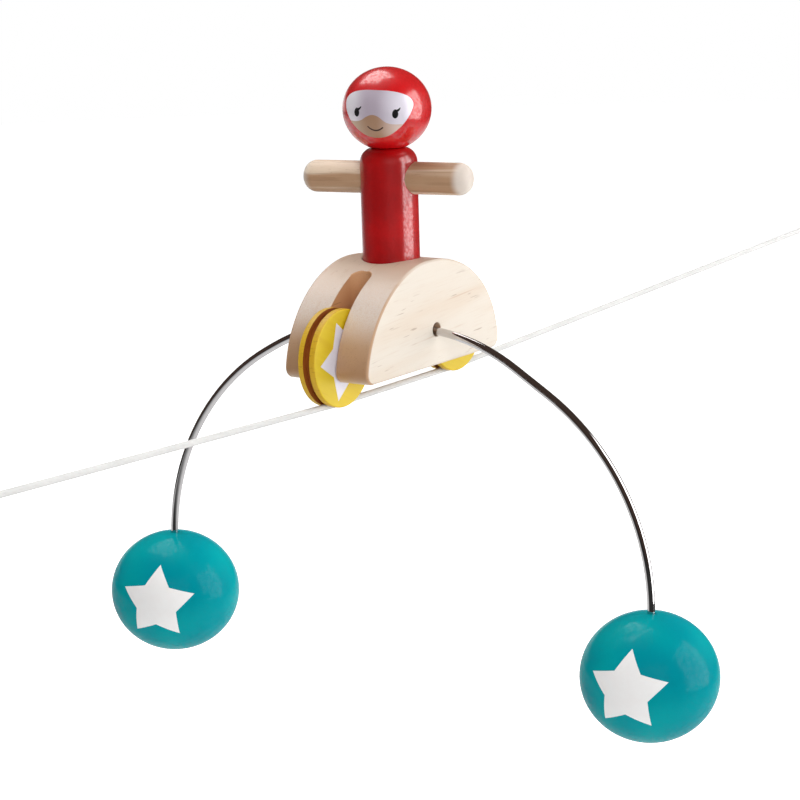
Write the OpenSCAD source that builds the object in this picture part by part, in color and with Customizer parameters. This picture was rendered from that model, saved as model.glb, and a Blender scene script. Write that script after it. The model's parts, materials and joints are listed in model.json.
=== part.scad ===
// Tightrope walker: a wooden peg figure stands on a small two-wheeled carriage that rolls
// along a taut rope, held upright by two heavy balls on a bent steel wire below it.
//
// Origin: the rope's centreline, midway between the two wheels.
// X runs across the rope, Z is up, and the walker faces -Y along the rope.
// Left and right are the figure's own, so its left hand and its left ball are on +X.

/* [Rope] */
// Diameter of the rope
rope_d = 2.4; // [1.6:0.1:4]
// Width of the eye between the two strands of each end loop
loop_eye = 11.6; // [9:0.2:20]
// Length of each end loop from its knot to the middle of its bend
loop_reach = 12; // [10:0.5:24]
// Number of rope turns wrapped in each end knot
knot_turns = 4; // [3:1:6]
// Length of the cut tail beside each knot
tail_len = 8; // [4:0.5:12]

/* [Wheels] */
// Diameter of a wheel over its rims
wheel_d = 36; // [30:0.5:40]
// Width of a wheel
wheel_w = 7.6; // [6:0.1:9]
// Depth of the rope groove below the rims
groove_depth = 2.15; // [1.4:0.05:3.5]
// Rounding of a wheel's outer edges
wheel_ease = 0.6; // [0.2:0.1:1]
// Distance between the two axles
wheelbase = 76; // [70:0.5:82]
// Diameter of a wheel's dowel axle
axle_d = 5; // [4:0.5:7]

/* [Carriage] */
// Length of the carriage along the rope
block_l = 89; // [84:0.5:100]
// Width of the carriage across the rope
block_w = 36.9; // [30:0.1:44]
// Height of the carriage from underside to crown
block_h = 39.8; // [36:0.1:50]
// Distance of the crown ahead of the middle
crown_ahead = 2.3; // [0:0.1:6]
// Fullness of the front half of the profile, where 2 is an ellipse
front_fullness = 1.92; // [1.8:0.02:2.4]
// Fullness of the rear half of the profile, where 2 is an ellipse
rear_fullness = 2.16; // [1.8:0.02:2.4]
// Radius of the two lower corners of the profile
corner_r = 4; // [1:0.5:6]
// Rounding of the long edges of the carriage
block_ease = 1.2; // [0.4:0.1:2]
// Height of the axles above the underside
axle_rise = 8.3; // [7:0.1:12]
// Thickness of wood left over the blind end of an axle
axle_skin = 5; // [3:0.5:7]

/* [Figure] */
// Diameter of the ball head
head_d = 32.9; // [26:0.1:40]
// Height of the head, which is a little flattened
head_h = 30.8; // [26:0.1:40]
// Depth of the flat sanded under the head
head_flat = 1.3; // [0.6:0.1:2]
// Diameter of the body
torso_d = 21.4; // [18:0.1:26]
// Length of the body, with the foot in its socket
torso_len = 52.8; // [46:0.2:60]
// Rounding of the shoulders
shoulder_r = 5.5; // [2:0.5:6]
// Depth of the socket in the carriage below the crown
socket_depth = 12; // [8:0.5:14]
// Distance of the figure behind the middle of the carriage
figure_back = 0; // [-3:0.1:3]
// Turn of the figure on its foot
figure_turn = 10.8; // [-45:0.1:45]
// Diameter of an arm
arm_d = 12; // [9:0.5:14]
// Rounding of a hand
hand_r = 5; // [3:0.1:5.8]
// Depth of the arms' axis below the shoulders
arm_drop = 11.3; // [9:0.1:14]
// Reach of the left arm from the body's axis
left_reach = 33; // [28:0.5:44]
// Reach of the right arm from the body's axis
right_reach = 34; // [28:0.5:44]
// Distance of an arm's hidden end from the body's axis
arm_root = 4.8; // [4.2:0.1:6]
// Diameter of the dowel between body and head
neck_d = 6; // [4:0.5:7]
// Depth of the neck dowel in the body and in the head
neck_depth = 10; // [6:0.5:12]

/* [Balance wire] */
// Diameter of the wire
wire_d = 3; // [2:0.1:4]
// How far each bent arm reaches out and down, as the radius of a plain quarter bend
bend_r = 96; // [80:1:120]
// Straight stretch in the bend of the left arm
left_straight = 16; // [1:0.5:20]
// Straight stretch in the bend of the right arm
right_straight = 4; // [1:0.5:20]
// How far the wire has turned down where that stretch starts, in degrees
straight_at = 31; // [25:1:40]
// Half length of the straight middle of the wire
wire_flat = 10; // [6:0.5:14]
// Distance the wire has slid through its bore towards the left
wire_shift = 2.5; // [0:0.1:4]
// Height of the wire's bore above the underside of the carriage
bore_rise = 13.5; // [11:0.1:16]
// Distance of the wire's bore behind the middle of the carriage
bore_back = 1.4; // [0:0.1:5]
// Roll of the bent arms: the left one is lowered, the right one lifted
arm_roll = 2.1; // [0:0.1:3]
// Yaw of the bent arms: the left one is turned back, the right one forward
arm_yaw = 3.1; // [0:0.1:4]
// Extra diameter of the wire's swelling where it starts to bend
bend_swell = 0.4; // [0.3:0.05:0.6]
// Length of that swelling
swell_len = 3; // [2:0.2:4]
// Diameter of a ball
ball_d = 51.2; // [40:0.2:60]
// Height of a ball, which is a little flattened
ball_h = 48.1; // [38:0.1:58]
// Height of a ball's top above the end of the wire's bend
ball_bite = 1.5; // [0.2:0.1:2]
// Depth of the wire's straight end in its ball
wire_seat = 14; // [8:0.5:20]

/* [Clearances] */
// Gap between the rope and the floor of a groove
rope_gap = 0.15; // [0.1:0.01:0.3]
// Gap between the rope and each side of a groove
rope_side_gap = 0.22; // [0.1:0.01:0.5]
// Gap round an axle in its wheel
axle_gap = 0.1; // [0.05:0.01:0.3]
// Gap between a wheel and each side of its slot
wheel_side_gap = 0.7; // [0.5:0.05:1.5]
// Gap between a wheel's rim and the round end of its slot
slot_end_gap = 3.1; // [2:0.1:5]
// Gap round the figure's foot in its socket
foot_gap = 0.3; // [0.1:0.05:0.6]
// Gap under the figure's foot
foot_seat_gap = 0.1; // [0.05:0.05:0.3]
// Slack round the wire in its bore
wire_slack = 1.1; // [1:0.05:1.4]
// Distance of the wire's axis below the bore's axis
wire_rest = 0.3; // [0.1:0.05:0.35]
// Glue gap round a dowel in its hole
glue_gap = 0.05; // [0.02:0.01:0.1]
// Gap past the end of a dowel in a blind hole
blind_gap = 0.4; // [0.2:0.1:1]

/* [Hidden] */
$fn = 96;

// Heights, all measured from the rope's centreline
groove_floor_r = wheel_d / 2 - groove_depth;
axle_z = groove_floor_r + rope_gap + rope_d / 2;
block_bottom = axle_z - axle_rise;
block_top = block_bottom + block_h;
foot_z = block_top - socket_depth + foot_seat_gap;
shoulder_z = foot_z + torso_len;
head_z = shoulder_z + head_h / 2 - head_flat;
arm_z = shoulder_z - arm_drop;
bore_z = block_bottom + bore_rise;
wire_z = bore_z - wire_rest;
wire_end = wire_seat - ball_bite;

// Share of its straight stretch that a bend's upper curve gives up, and how much wider its lower curve is
straight_gain = (cos(straight_at) - sin(straight_at)) / (cos(straight_at) + sin(straight_at) - 1);
straight_share = cos(straight_at) + (1 - sin(straight_at)) * straight_gain;

// Places along the rope
axle_y = wheelbase / 2;
slot_end_y = axle_y - wheel_d / 2 - slot_end_gap;
slot_w = wheel_w + 2 * wheel_side_gap;
groove_w = rope_d + 2 * rope_side_gap;
bore_d = wire_d + 2 * wire_slack;

// Angle between two points of the carriage's profile
profile_step = 3.75;

// Routes of the rope's two free stretches, from a wheel out to a knot
rope_lead = 3;
front_route = [
    [0, -axle_y, 0], [0, -axle_y - rope_lead, 0], [0, -100, 1.9], [0, -160, 3.8], [0, -228, 6]
];
rear_route = [
    [0, axle_y, 0], [0, axle_y + rope_lead, 0], [0, 140, 3.7], [0, 240, 7.5], [0, 355, 11.9]
];
rope_sides = 8;
ring_step = 8;

// Facets round the balance wire, and round a full turn of its curves
wire_sides = 48;
curve_sides = 160;
// A straight stretch of the wire reaches this far into the curve beside it, and is this much thicker
wire_lap = 0.3;
wire_true = 0.03;

// End knots: turns of rope side by side round a core
knot_pitch = rope_d * 0.96;
knot_len = rope_d + (knot_turns - 1) * knot_pitch;
knot_turn_r = rope_d * 1.3;
tail_drop = rope_d * 1.2;
strand_half_gap = rope_d * 0.65;
loop_steps = 8;

wood = "burlywood";
pale_wood = "blanchedalmond";
red = "crimson";
yellow = "gold";
teal = "darkcyan";
steel = "silver";
white = "white";

// Number of steps that keeps rings about ring_step apart between two points
function step_count(a, b) = max(1, ceil(norm(b - a) / ring_step));

// Points along a route, with rings added between its corners
function dense(route) = concat(
    [for (i = [0 : len(route) - 2])
        let (n = step_count(route[i], route[i + 1]))
        for (k = [0 : n - 1]) route[i] + (route[i + 1] - route[i]) * k / n],
    [route[len(route) - 1]]
);

function unit(v) = v / norm(v);

// Direction of a path at point i; its ends keep the direction of their own segment
function heading(path, i) =
    let (last = len(path) - 1)
    unit(path[min(i + 1, last)] - path[max(i - 1, 0)]);

// Ring of points round a path that stays in a plane across X
function ring(path, i, r, sides) =
    let (t = heading(path, i), side = [1, 0, 0], up = cross(side, t))
    [for (k = [0 : sides - 1])
        let (a = 360 * (k + 0.5) / sides)
        path[i] + r * (cos(a) * side + sin(a) * up)];

// Rope swept along a path as one closed tube of triangles
module rope_tube(path, d, sides) {
    n = len(path);
    points = [for (i = [0 : n - 1]) each ring(path, i, d / 2, sides)];
    walls = [for (i = [0 : n - 2], k = [0 : sides - 1])
        let (a = i * sides + k, b = i * sides + (k + 1) % sides)
        each [[a, b, b + sides], [a, b + sides, a + sides]]];
    start = [for (k = [1 : sides - 2]) [0, k + 1, k]];
    base = (n - 1) * sides;
    end = [for (k = [1 : sides - 2]) [base, base + k, base + k + 1]];
    polyhedron(points = points, faces = concat(walls, start, end));
}

// Axis along X, the middle at the origin
module along_x() {
    rotate([0, 90, 0]) children();
}

// Points of one half of the carriage's profile, from its end up to the crown
function profile_half(reach, fullness, side) = [
    for (a = [0 : profile_step : 90])
        [side * reach * pow(cos(a), 2 / fullness), block_h * pow(sin(a), 2 / fullness)]
];

// Side view of the carriage, with Y across the page and Z up it
module block_profile() {
    front = profile_half(block_l / 2 - crown_ahead, front_fullness, -1);
    rear = profile_half(block_l / 2 + crown_ahead, rear_fullness, 1);
    offset(r = corner_r, $fn = 32) offset(delta = -corner_r)
        polygon(concat(front, [for (i = [len(rear) - 1 : -1 : 0]) rear[i]]));
}

// One slab of the carriage: its profile drawn in by inset, w wide across the rope
module block_slab(inset, w) {
    translate([0, -crown_ahead, block_bottom])
        rotate([90, 0, 90])
            linear_extrude(height = w, center = true)
                offset(delta = -inset) block_profile();
}

// Slot for one wheel: a straight cut from the end with a round inner end
module wheel_slot(side) {
    tall = block_h + 2;
    translate([0, side * (slot_end_y + slot_w / 2), block_bottom - 1]) {
        cylinder(d = slot_w, h = tall);
        translate([-slot_w / 2, side > 0 ? 0 : -block_l, 0]) cube([slot_w, block_l, tall]);
    }
}

module carriage_block() {
    ease_45 = block_ease * (1 - cos(45));
    color(pale_wood)
    difference() {
        hull() {
            block_slab(0, block_w - 2 * block_ease);
            block_slab(ease_45, block_w - 2 * ease_45);
            block_slab(block_ease, block_w);
        }
        wheel_slot(-1);
        wheel_slot(1);
        // Blind holes for the axles, drilled from the right face
        for (side = [-1, 1])
            translate([-block_w / 2 - 1, side * axle_y, axle_z])
                rotate([0, 90, 0])
                    cylinder(d = axle_d + 2 * glue_gap, h = block_w + 1 - axle_skin);
        // Loose bore for the balance wire
        translate([0, bore_back, bore_z])
            along_x() cylinder(d = bore_d, h = block_w + 2, center = true);
        // Socket for the figure's foot
        translate([0, figure_back, block_top - socket_depth])
            cylinder(d = torso_d + 2 * foot_gap, h = socket_depth + 1);
    }
}

// Dowel glued into the carriage from its right face
module axle(side) {
    color(wood)
    translate([-block_w / 2, side * axle_y, axle_z])
        rotate([0, 90, 0])
            cylinder(d = axle_d, h = block_w - axle_skin - blind_gap);
}

module front_axle() {
    axle(-1);
}

module rear_axle() {
    axle(1);
}

// Cross section of a wheel on one side of its axis: X is the radius, Y the width
module wheel_section() {
    r = wheel_d / 2;
    half = wheel_w / 2;
    bore_r = axle_d / 2 + axle_gap;
    difference() {
        union() {
            translate([bore_r, -half]) square([r - wheel_ease - bore_r, wheel_w]);
            translate([bore_r, -half + wheel_ease]) square([r - bore_r, wheel_w - 2 * wheel_ease]);
            for (side = [-1, 1])
                translate([r - wheel_ease, side * (half - wheel_ease)]) circle(r = wheel_ease, $fn = 32);
        }
        translate([groove_floor_r, -groove_w / 2]) square([groove_depth + 1, groove_w]);
    }
}

module wheel(side) {
    color(yellow)
    translate([0, side * axle_y, axle_z])
        along_x() rotate_extrude() wheel_section();
}

module front_wheel() {
    wheel(-1);
}

module rear_wheel() {
    wheel(1);
}

// Cylinder with one rounded end at z = h, as a section to turn
module rounded_section(r, h, round_r) {
    union() {
        square([r, h - round_r]);
        square([r - round_r, h]);
        translate([r - round_r, h - round_r])
            intersection() {
                circle(r = round_r);
                square(round_r);
            }
    }
}

// Half of a flattened ball's outline, as a section to turn
module oval_section(across, tall) {
    polygon([for (a = [-90 : 5 : 90]) [across / 2 * cos(a), tall / 2 * sin(a)]]);
}

module in_figure() {
    translate([0, figure_back, 0]) rotate([0, 0, figure_turn]) children();
}

// Place of an arm, whose own Z runs out from the body's axis
module on_arm_axis(side) {
    translate([0, 0, arm_z]) rotate([0, side * 90, 0]) children();
}

module torso() {
    color(red)
    in_figure()
    difference() {
        translate([0, 0, foot_z])
            rotate_extrude() rounded_section(torso_d / 2, torso_len, shoulder_r);
        translate([0, 0, shoulder_z - neck_depth - blind_gap])
            cylinder(d = neck_d + 2 * glue_gap, h = neck_depth + blind_gap + 1);
        for (side = [-1, 1])
            on_arm_axis(side)
                translate([0, 0, arm_root - blind_gap])
                    cylinder(d = arm_d + 2 * glue_gap, h = torso_d);
    }
}

module neck_dowel() {
    color(wood)
    in_figure()
        translate([0, 0, shoulder_z - neck_depth]) cylinder(d = neck_d, h = 2 * neck_depth);
}

module head() {
    color(red)
    in_figure()
    difference() {
        translate([0, 0, head_z]) rotate_extrude() oval_section(head_d, head_h);
        translate([0, 0, shoulder_z - head_d]) cylinder(d = head_d, h = head_d);
        translate([0, 0, shoulder_z - 1])
            cylinder(d = neck_d + 2 * glue_gap, h = neck_depth + blind_gap + 1);
    }
}

// Arm from its hidden end at arm_root to the tip of its hand
module arm(side, reach) {
    color(pale_wood)
    in_figure()
        on_arm_axis(side)
            translate([0, 0, arm_root])
                rotate_extrude() rounded_section(arm_d / 2, reach - arm_root, hand_r);
}

module left_arm() {
    arm(1, left_reach);
}

module right_arm() {
    arm(-1, right_reach);
}

// Middle of the wire in its bore, mirrored for the right side
module wire_side(side) {
    translate([wire_shift, bore_back, wire_z])
        mirror([side > 0 ? 0 : 1, 0, 0])
            children();
}

// Everything past the straight middle leans by the roll and yaw of the bent arms
module leaning(side) {
    start = [wire_flat, 0, 0];
    translate(start) rotate([0, side * arm_roll, side * arm_yaw]) translate(-start) children();
}

// Curve of the wire of radius r, from the angle start above level, turned by the angle sweep
module wire_curve(r, start, sweep) {
    rotate([90, 0, 0])
        rotate([0, 0, start])
            rotate_extrude(angle = sweep, $fn = curve_sides)
                translate([r, 0]) circle(d = wire_d, $fn = wire_sides);
}

// Bend of the wire from level to straight down, hand-bent with a straight stretch of length len,
// and its straight end in the ball
module bent_arm(len) {
    upper = bend_r - straight_share * len;
    lower = upper + straight_gain * len;
    translate([wire_flat, 0, 0]) {
        translate([0, 0, -upper]) wire_curve(upper, 90 - straight_at, straight_at);
        translate([upper * sin(straight_at), 0, upper * (cos(straight_at) - 1)])
            rotate([0, 90 + straight_at, 0])
                translate([0, 0, -wire_lap]) cylinder(d = wire_d + wire_true, h = len + 2 * wire_lap);
        translate([bend_r - lower, 0, -bend_r]) wire_curve(lower, 0, 90 - straight_at);
        translate([bend_r, 0, -bend_r - wire_end])
            cylinder(d = wire_d + wire_true, h = wire_end + wire_lap);
    }
}

module half_wire(side) {
    wire_side(side) {
        translate([wire_flat, 0, 0])
            along_x() cylinder(d = wire_d + bend_swell, h = swell_len, center = true);
        leaning(side) bent_arm(side > 0 ? left_straight : right_straight);
    }
}

module balance_wire() {
    $fn = wire_sides;
    color(steel) {
        wire_side(1) along_x() cylinder(d = wire_d, h = 2 * wire_flat, center = true);
        half_wire(1);
        half_wire(-1);
    }
}

// Ball on the end of the wire, with the wire's hole in its top
module wire_ball() {
    translate([wire_flat + bend_r, 0, ball_bite - bend_r])
        difference() {
            translate([0, 0, -ball_h / 2]) rotate_extrude() oval_section(ball_d, ball_h);
            translate([0, 0, -wire_seat - blind_gap])
                cylinder(d = wire_d + 2 * glue_gap, h = wire_seat + blind_gap + 1);
        }
}

module left_ball() {
    color(teal) wire_side(1) leaning(1) wire_ball();
}

module right_ball() {
    color(teal) wire_side(-1) leaning(-1) wire_ball();
}

module rope_under_walker() {
    color(white) rope_tube(dense([[0, -axle_y, 0], [0, axle_y, 0]]), rope_d, rope_sides);
}

module rope_front_run() {
    color(white) rope_tube(dense(front_route), rope_d, rope_sides);
}

module rope_rear_run() {
    color(white) rope_tube(dense(rear_route), rope_d, rope_sides);
}

// Outer end of a route, with +Y running on along the rope
module at_rope_end(route) {
    last = route[len(route) - 1];
    way = last - route[len(route) - 2];
    translate(last)
        rotate([0, 0, way[1] > 0 ? 0 : 180])
            rotate([atan2(way[2], abs(way[1])), 0, 0])
                children();
}

// Knot: turns of rope side by side round a core, and the cut tail beside the standing rope
module knot() {
    rotate([-90, 0, 0])
        rotate_extrude()
            union() {
                square([knot_turn_r, knot_len]);
                for (i = [0 : knot_turns - 1])
                    translate([knot_turn_r, rope_d / 2 + i * knot_pitch]) circle(d = rope_d, $fn = 24);
            }
    translate([0, -tail_len, -tail_drop]) rotate([-90, 0, 0]) cylinder(d = rope_d, h = tail_len + 1);
}

// Path of an end loop in the upright plane: square out of the knot, round the eye and back
function loop_path() =
    let (
        wide = (loop_eye + rope_d) / 2,
        start = [0, knot_len, strand_half_gap],
        run = loop_reach - rope_d,
        out = concat([start], [for (i = [0 : loop_steps])
            let (s = i / loop_steps, ease = s * s * (3 - 2 * s))
            start + [0, rope_d + s * run, (wide - strand_half_gap) * ease]]),
        bend = [for (a = [15 : 15 : 165])
            [0, knot_len + loop_reach + wide * sin(a), wide * cos(a)]],
        back = [for (i = [len(out) - 1 : -1 : 0]) [0, out[i][1], -out[i][2]]]
    )
    concat(out, bend, back);

module rope_front_knot() {
    color(white) at_rope_end(front_route) knot();
}

module rope_rear_knot() {
    color(white) at_rope_end(rear_route) knot();
}

module rope_front_loop() {
    color(white) at_rope_end(front_route) rope_tube(loop_path(), rope_d, rope_sides);
}

module rope_rear_loop() {
    color(white) at_rope_end(rear_route) rope_tube(loop_path(), rope_d, rope_sides);
}

carriage_block();
front_axle();
rear_axle();
front_wheel();
rear_wheel();
torso();
neck_dowel();
head();
left_arm();
right_arm();
balance_wire();
left_ball();
right_ball();
rope_under_walker();
rope_front_run();
rope_rear_run();
rope_front_knot();
rope_rear_knot();
rope_front_loop();
rope_rear_loop();
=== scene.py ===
# Tightrope walker toy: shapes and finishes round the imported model.
# Blender units are metres, and the sizes written here are millimetres unless a note says otherwise.
import json
import math

import bmesh
import bpy
from mathutils import Matrix, Vector
from mathutils.geometry import delaunay_2d_cdt

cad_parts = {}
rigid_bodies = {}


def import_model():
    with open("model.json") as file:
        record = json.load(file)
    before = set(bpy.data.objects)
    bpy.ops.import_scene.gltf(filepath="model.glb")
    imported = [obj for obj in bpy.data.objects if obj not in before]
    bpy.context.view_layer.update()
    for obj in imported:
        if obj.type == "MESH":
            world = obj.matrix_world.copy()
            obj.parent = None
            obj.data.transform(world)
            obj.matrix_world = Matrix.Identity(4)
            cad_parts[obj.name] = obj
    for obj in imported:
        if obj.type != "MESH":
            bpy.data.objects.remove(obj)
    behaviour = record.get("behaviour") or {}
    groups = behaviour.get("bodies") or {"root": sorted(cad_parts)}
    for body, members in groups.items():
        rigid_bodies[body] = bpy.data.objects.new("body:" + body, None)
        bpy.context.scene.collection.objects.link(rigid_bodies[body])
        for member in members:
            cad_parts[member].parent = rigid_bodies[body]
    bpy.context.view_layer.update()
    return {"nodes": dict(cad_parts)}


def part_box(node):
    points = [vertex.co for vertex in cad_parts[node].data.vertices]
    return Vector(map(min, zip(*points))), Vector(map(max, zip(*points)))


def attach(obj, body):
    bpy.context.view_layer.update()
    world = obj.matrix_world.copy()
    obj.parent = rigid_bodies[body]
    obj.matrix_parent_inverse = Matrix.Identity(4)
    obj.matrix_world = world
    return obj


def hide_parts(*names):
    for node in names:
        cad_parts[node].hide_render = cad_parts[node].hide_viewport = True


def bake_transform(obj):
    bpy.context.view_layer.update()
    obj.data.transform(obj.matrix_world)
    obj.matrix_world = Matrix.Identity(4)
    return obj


mm = 0.001

for item in list(bpy.data.objects):
    bpy.data.objects.remove(item)

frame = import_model()
scene = bpy.context.scene
print("frame loaded:", len(frame["nodes"]), "nodes")


# Camera

cameraView = {
    "place": (569.69, -828.68, 204.61),
    "azimuth": 34.417,
    "elevation": 11.819,
    "roll": -1.719,
    "lens": 123.046,
    "sensor": 36.0,
}


def lookAxes(azimuth, elevation, roll=0.0):
    # right, up and back of a viewer, where azimuth 0 looks along +Y
    az, el, ro = (math.radians(a) for a in (azimuth, elevation, roll))
    back = Vector((math.sin(az) * math.cos(el), -math.cos(az) * math.cos(el), math.sin(el)))
    level = Vector((math.cos(az), math.sin(az), 0))
    upright = back.cross(level)
    right = math.cos(ro) * level + math.sin(ro) * upright
    return right, back.cross(right), back


viewAxes = lookAxes(cameraView["azimuth"], cameraView["elevation"], cameraView["roll"])
cameraData = bpy.data.cameras.new("camera")
cameraData.lens = cameraView["lens"]
cameraData.sensor_width = cameraView["sensor"]
cameraData.sensor_fit = "HORIZONTAL"
cameraData.clip_start = 0.01
cameraData.clip_end = 50
camera = bpy.data.objects.new("camera", cameraData)
viewTurn = Matrix(viewAxes).transposed().to_4x4()
camera.matrix_world = Matrix.Translation(Vector(cameraView["place"]) * mm) @ viewTurn
scene.collection.objects.link(camera)
scene.camera = camera


# Node maths

even = (1, 1, 1)  # noise that isn't stretched


def operators(operation):
    # a Python operator that adds a Math node, and its reflected form
    return (
        lambda sock, other: sock.maths(operation, sock, other),
        lambda sock, other: sock.maths(operation, other, sock),
    )


class Sock:
    # a node's output that takes part in arithmetic, so that 1 - mask works
    __add__, __radd__ = operators("ADD")
    __sub__, __rsub__ = operators("SUBTRACT")
    __mul__, __rmul__ = operators("MULTIPLY")
    __pow__, __rpow__ = operators("POWER")

    def __init__(self, finish, socket):
        self.finish = finish
        self.socket = socket

    def maths(self, operation, *values):
        return self.finish.add("ShaderNodeMath", {"operation": operation}, dict(enumerate(values)))

    def __abs__(self):
        return self.maths("ABSOLUTE", self)


class Finish:
    # builds the nodes of a material or a world
    def __init__(self, owner):
        owner.use_nodes = True
        self.owner = owner
        self.tree = owner.node_tree
        self.tree.nodes.clear()

    def add(self, kind, settings=None, values=None, out=0):
        node = self.tree.nodes.new(kind)
        for key, setting in (settings or {}).items():
            setattr(node, key, setting)
        for key, value in (values or {}).items():
            if isinstance(value, Sock):
                self.tree.links.new(value.socket, node.inputs[key])
            else:
                node.inputs[key].default_value = value
        return Sock(self, node.outputs[out]) if node.outputs else node

    def place(self, stretch=even, turn=(0, 0, 0), shift=(0, 0, 0)):
        # the piece's own coordinates in millimetres, turned and then stretched
        own = self.add("ShaderNodeTexCoord", out="Object")
        inMm = self.vector("MULTIPLY", own, (1 / mm,) * 3)
        moved = self.vector("SUBTRACT", inMm, shift)
        spin = {"Vector": moved, "Rotation": [math.radians(a) for a in turn]}
        turned = self.add("ShaderNodeMapping", {}, spin)
        return self.vector("MULTIPLY", turned, stretch)

    def split(self, vector):
        # the three parts of a vector
        parts = self.add("ShaderNodeSeparateXYZ", {}, {0: vector}).socket.node.outputs
        return [Sock(self, part) for part in parts]

    def vector(self, operation, a, b, out=0):
        return self.add("ShaderNodeVectorMath", {"operation": operation}, {0: a, 1: b}, out)

    def along(self, where, axis):
        # how far a place lies along an axis
        return self.vector("DOT_PRODUCT", where, tuple(axis), "Value")

    def ray(self, kind):
        return self.add("ShaderNodeLightPath", out="Is " + kind + " Ray")

    def noise(self, stretch, scale=1.0, detail=2.0, rough=0.5, warp=0.0, **placed):
        values = {"Vector": self.place(stretch, **placed), "Scale": scale, "Detail": detail}
        values.update({"Roughness": rough, "Distortion": warp})
        return self.add("ShaderNodeTexNoise", {}, values)

    def step(self, value, low, high):
        # 0 below low, 1 above high, smooth between
        values = {"Value": value, "From Min": low, "From Max": high}
        return self.add("ShaderNodeMapRange", {"interpolation_type": "SMOOTHSTEP"}, values)

    def mix(self, factor, a, b):
        # sockets 6 and 7 take the colours, and output 2 gives the mixed one
        return self.add("ShaderNodeMix", {"data_type": "RGBA"}, {0: factor, 6: a, 7: b}, out=2)

    def bump(self, height, depth, strength):
        # depth is in millimetres
        values = {"Height": height, "Distance": depth * mm, "Strength": strength}
        return self.add("ShaderNodeBump", {}, values)

    def surface(self, **values):
        named = {key.replace("_", " "): value for key, value in values.items()}
        shader = self.add("ShaderNodeBsdfPrincipled", {}, named)
        self.add("ShaderNodeOutputMaterial", {}, {"Surface": shader})
        return self.owner


def grey(value):
    return (value, value, value, 1.0)


def paint(red, green, blue):
    # a colour as 0 to 255, turned into the linear one that nodes take
    def linear(c):
        c = c / 255
        return c / 12.92 if c <= 0.04045 else ((c + 0.055) / 1.055) ** 2.4

    return (linear(red), linear(green), linear(blue), 1.0)


def newMaterial(name):
    return Finish(bpy.data.materials.new(name))


# Wood, paint, steel and cord


carriageWood = {
    "pale": paint(237, 226, 212),
    "warm": paint(233, 217, 199),
    "strip": paint(222, 197, 174),
    "end": paint(200, 164, 132),
    # painted sheen: the pale grey of a lamp's highlight on the upper end grain
    "paintedSheen": paint(238, 234, 231),
    # painted shade: the end grain's browner tone towards the bottom of the block
    "low": paint(172, 129, 92),
    # painted shade and painted yellow bounce light from the wheels on the slots' walls
    "inside": paint(216, 160, 110),
    "edge": paint(200, 152, 110),
    "line": paint(198, 154, 116),
    "fleck": paint(150, 112, 82),
    "tilt": 3.6,
}


def makeCarriageWood():
    w = carriageWood
    f = newMaterial("carriageWood")
    turn = (-w["tilt"], 0, 0)
    # growth rings drift slowly up the face and run nearly along the block
    broad = f.noise((0.05, 0.008, 0.09), 1.0, 2.0, 0.5, 0.4, turn=turn)
    ring = f.noise((0.34, 0.007, 0.42), turn=turn)
    fine = f.noise((1.4, 0.07, 1.4), 1.2, turn=turn)
    patch = f.noise((0.03, 0.045, 0.1), 1.0, 1.0)
    lines = f.step(ring, 0.6, 0.67) * f.step(patch, 0.44, 0.6)
    dash = f.noise((1.0, 0.1, 1.3), 1.0, 1.0, 0.4, turn=turn)
    dashes = f.step(dash, 0.66, 0.74) * f.step(patch, 0.46, 0.6)
    marks = ("strip", "endGrain", "inside", "edge")
    strip, endGrain, inSlot, edge = (
        f.add("ShaderNodeAttribute", {"attribute_name": mark}, out="Fac") for mark in marks
    )
    height = f.split(f.place())[2]
    # painted shade: the end grain turns browner towards the bottom, where less light falls
    low = 1 - f.step(height + 6 * patch, 16.0, 40.0)
    speck = f.noise(even, 1.9, 3.0, 0.65)
    specks = f.step(speck, 0.56, 0.68)
    base = f.mix(f.step(broad, 0.42, 0.7), w["pale"], w["warm"])
    base = f.mix(f.step(fine, 0.5, 0.8) * 0.1, base, w["line"])
    base = f.mix(strip, base, w["strip"])
    base = f.mix(endGrain * 0.9, base, f.mix(low, w["end"], w["low"]))
    # painted highlight: the upper end grain is paled in speckles, as a lamp's sheen would show
    # there
    paintedSheen = f.step(height, 22.0, 36.0) * (0.55 + 0.4 * f.step(speck, 0.4, 0.58))
    base = f.mix(endGrain * paintedSheen, base, w["paintedSheen"])
    base = f.mix(edge * 0.75, base, w["edge"])
    # painted shade: the slots' walls take a warm brown for their shade and the wheels' reflected
    # yellow
    base = f.mix(inSlot * 0.9, base, w["inside"])
    base = f.mix(lines * (0.34 - 0.26 * endGrain), base, w["line"])
    base = f.mix(dashes * (0.5 - 0.3 * strip), base, w["fleck"])
    base = f.mix(specks * (0.02 + endGrain * 0.32), base, w["fleck"])
    return f.surface(
        Base_Color=base,
        Roughness=0.5 - 0.2 * strip + 0.12 * speck,
        Specular_IOR_Level=0.3,
        Normal=f.bump(0.3 * fine - 0.5 * dashes - specks * (0.1 + endGrain * 1.2), 0.07, 0.7),
    )


armWood = {
    "pale": paint(228, 206, 181),
    "mid": paint(184, 147, 115),
    "brown": paint(142, 102, 70),
    # the pale hand end is partly a painted highlight
    "tip": paint(241, 232, 223),
    "tipShare": 0.75,
    "turn": 10.8,
    # how far from the hand's end its pale tip begins and is full, and where the grain is taken
    "left": {"tip": (6.0, 2.4), "seed": 23.0},
    "right": {"tip": (6.0, 1.0), "seed": 41.0},
}


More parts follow.
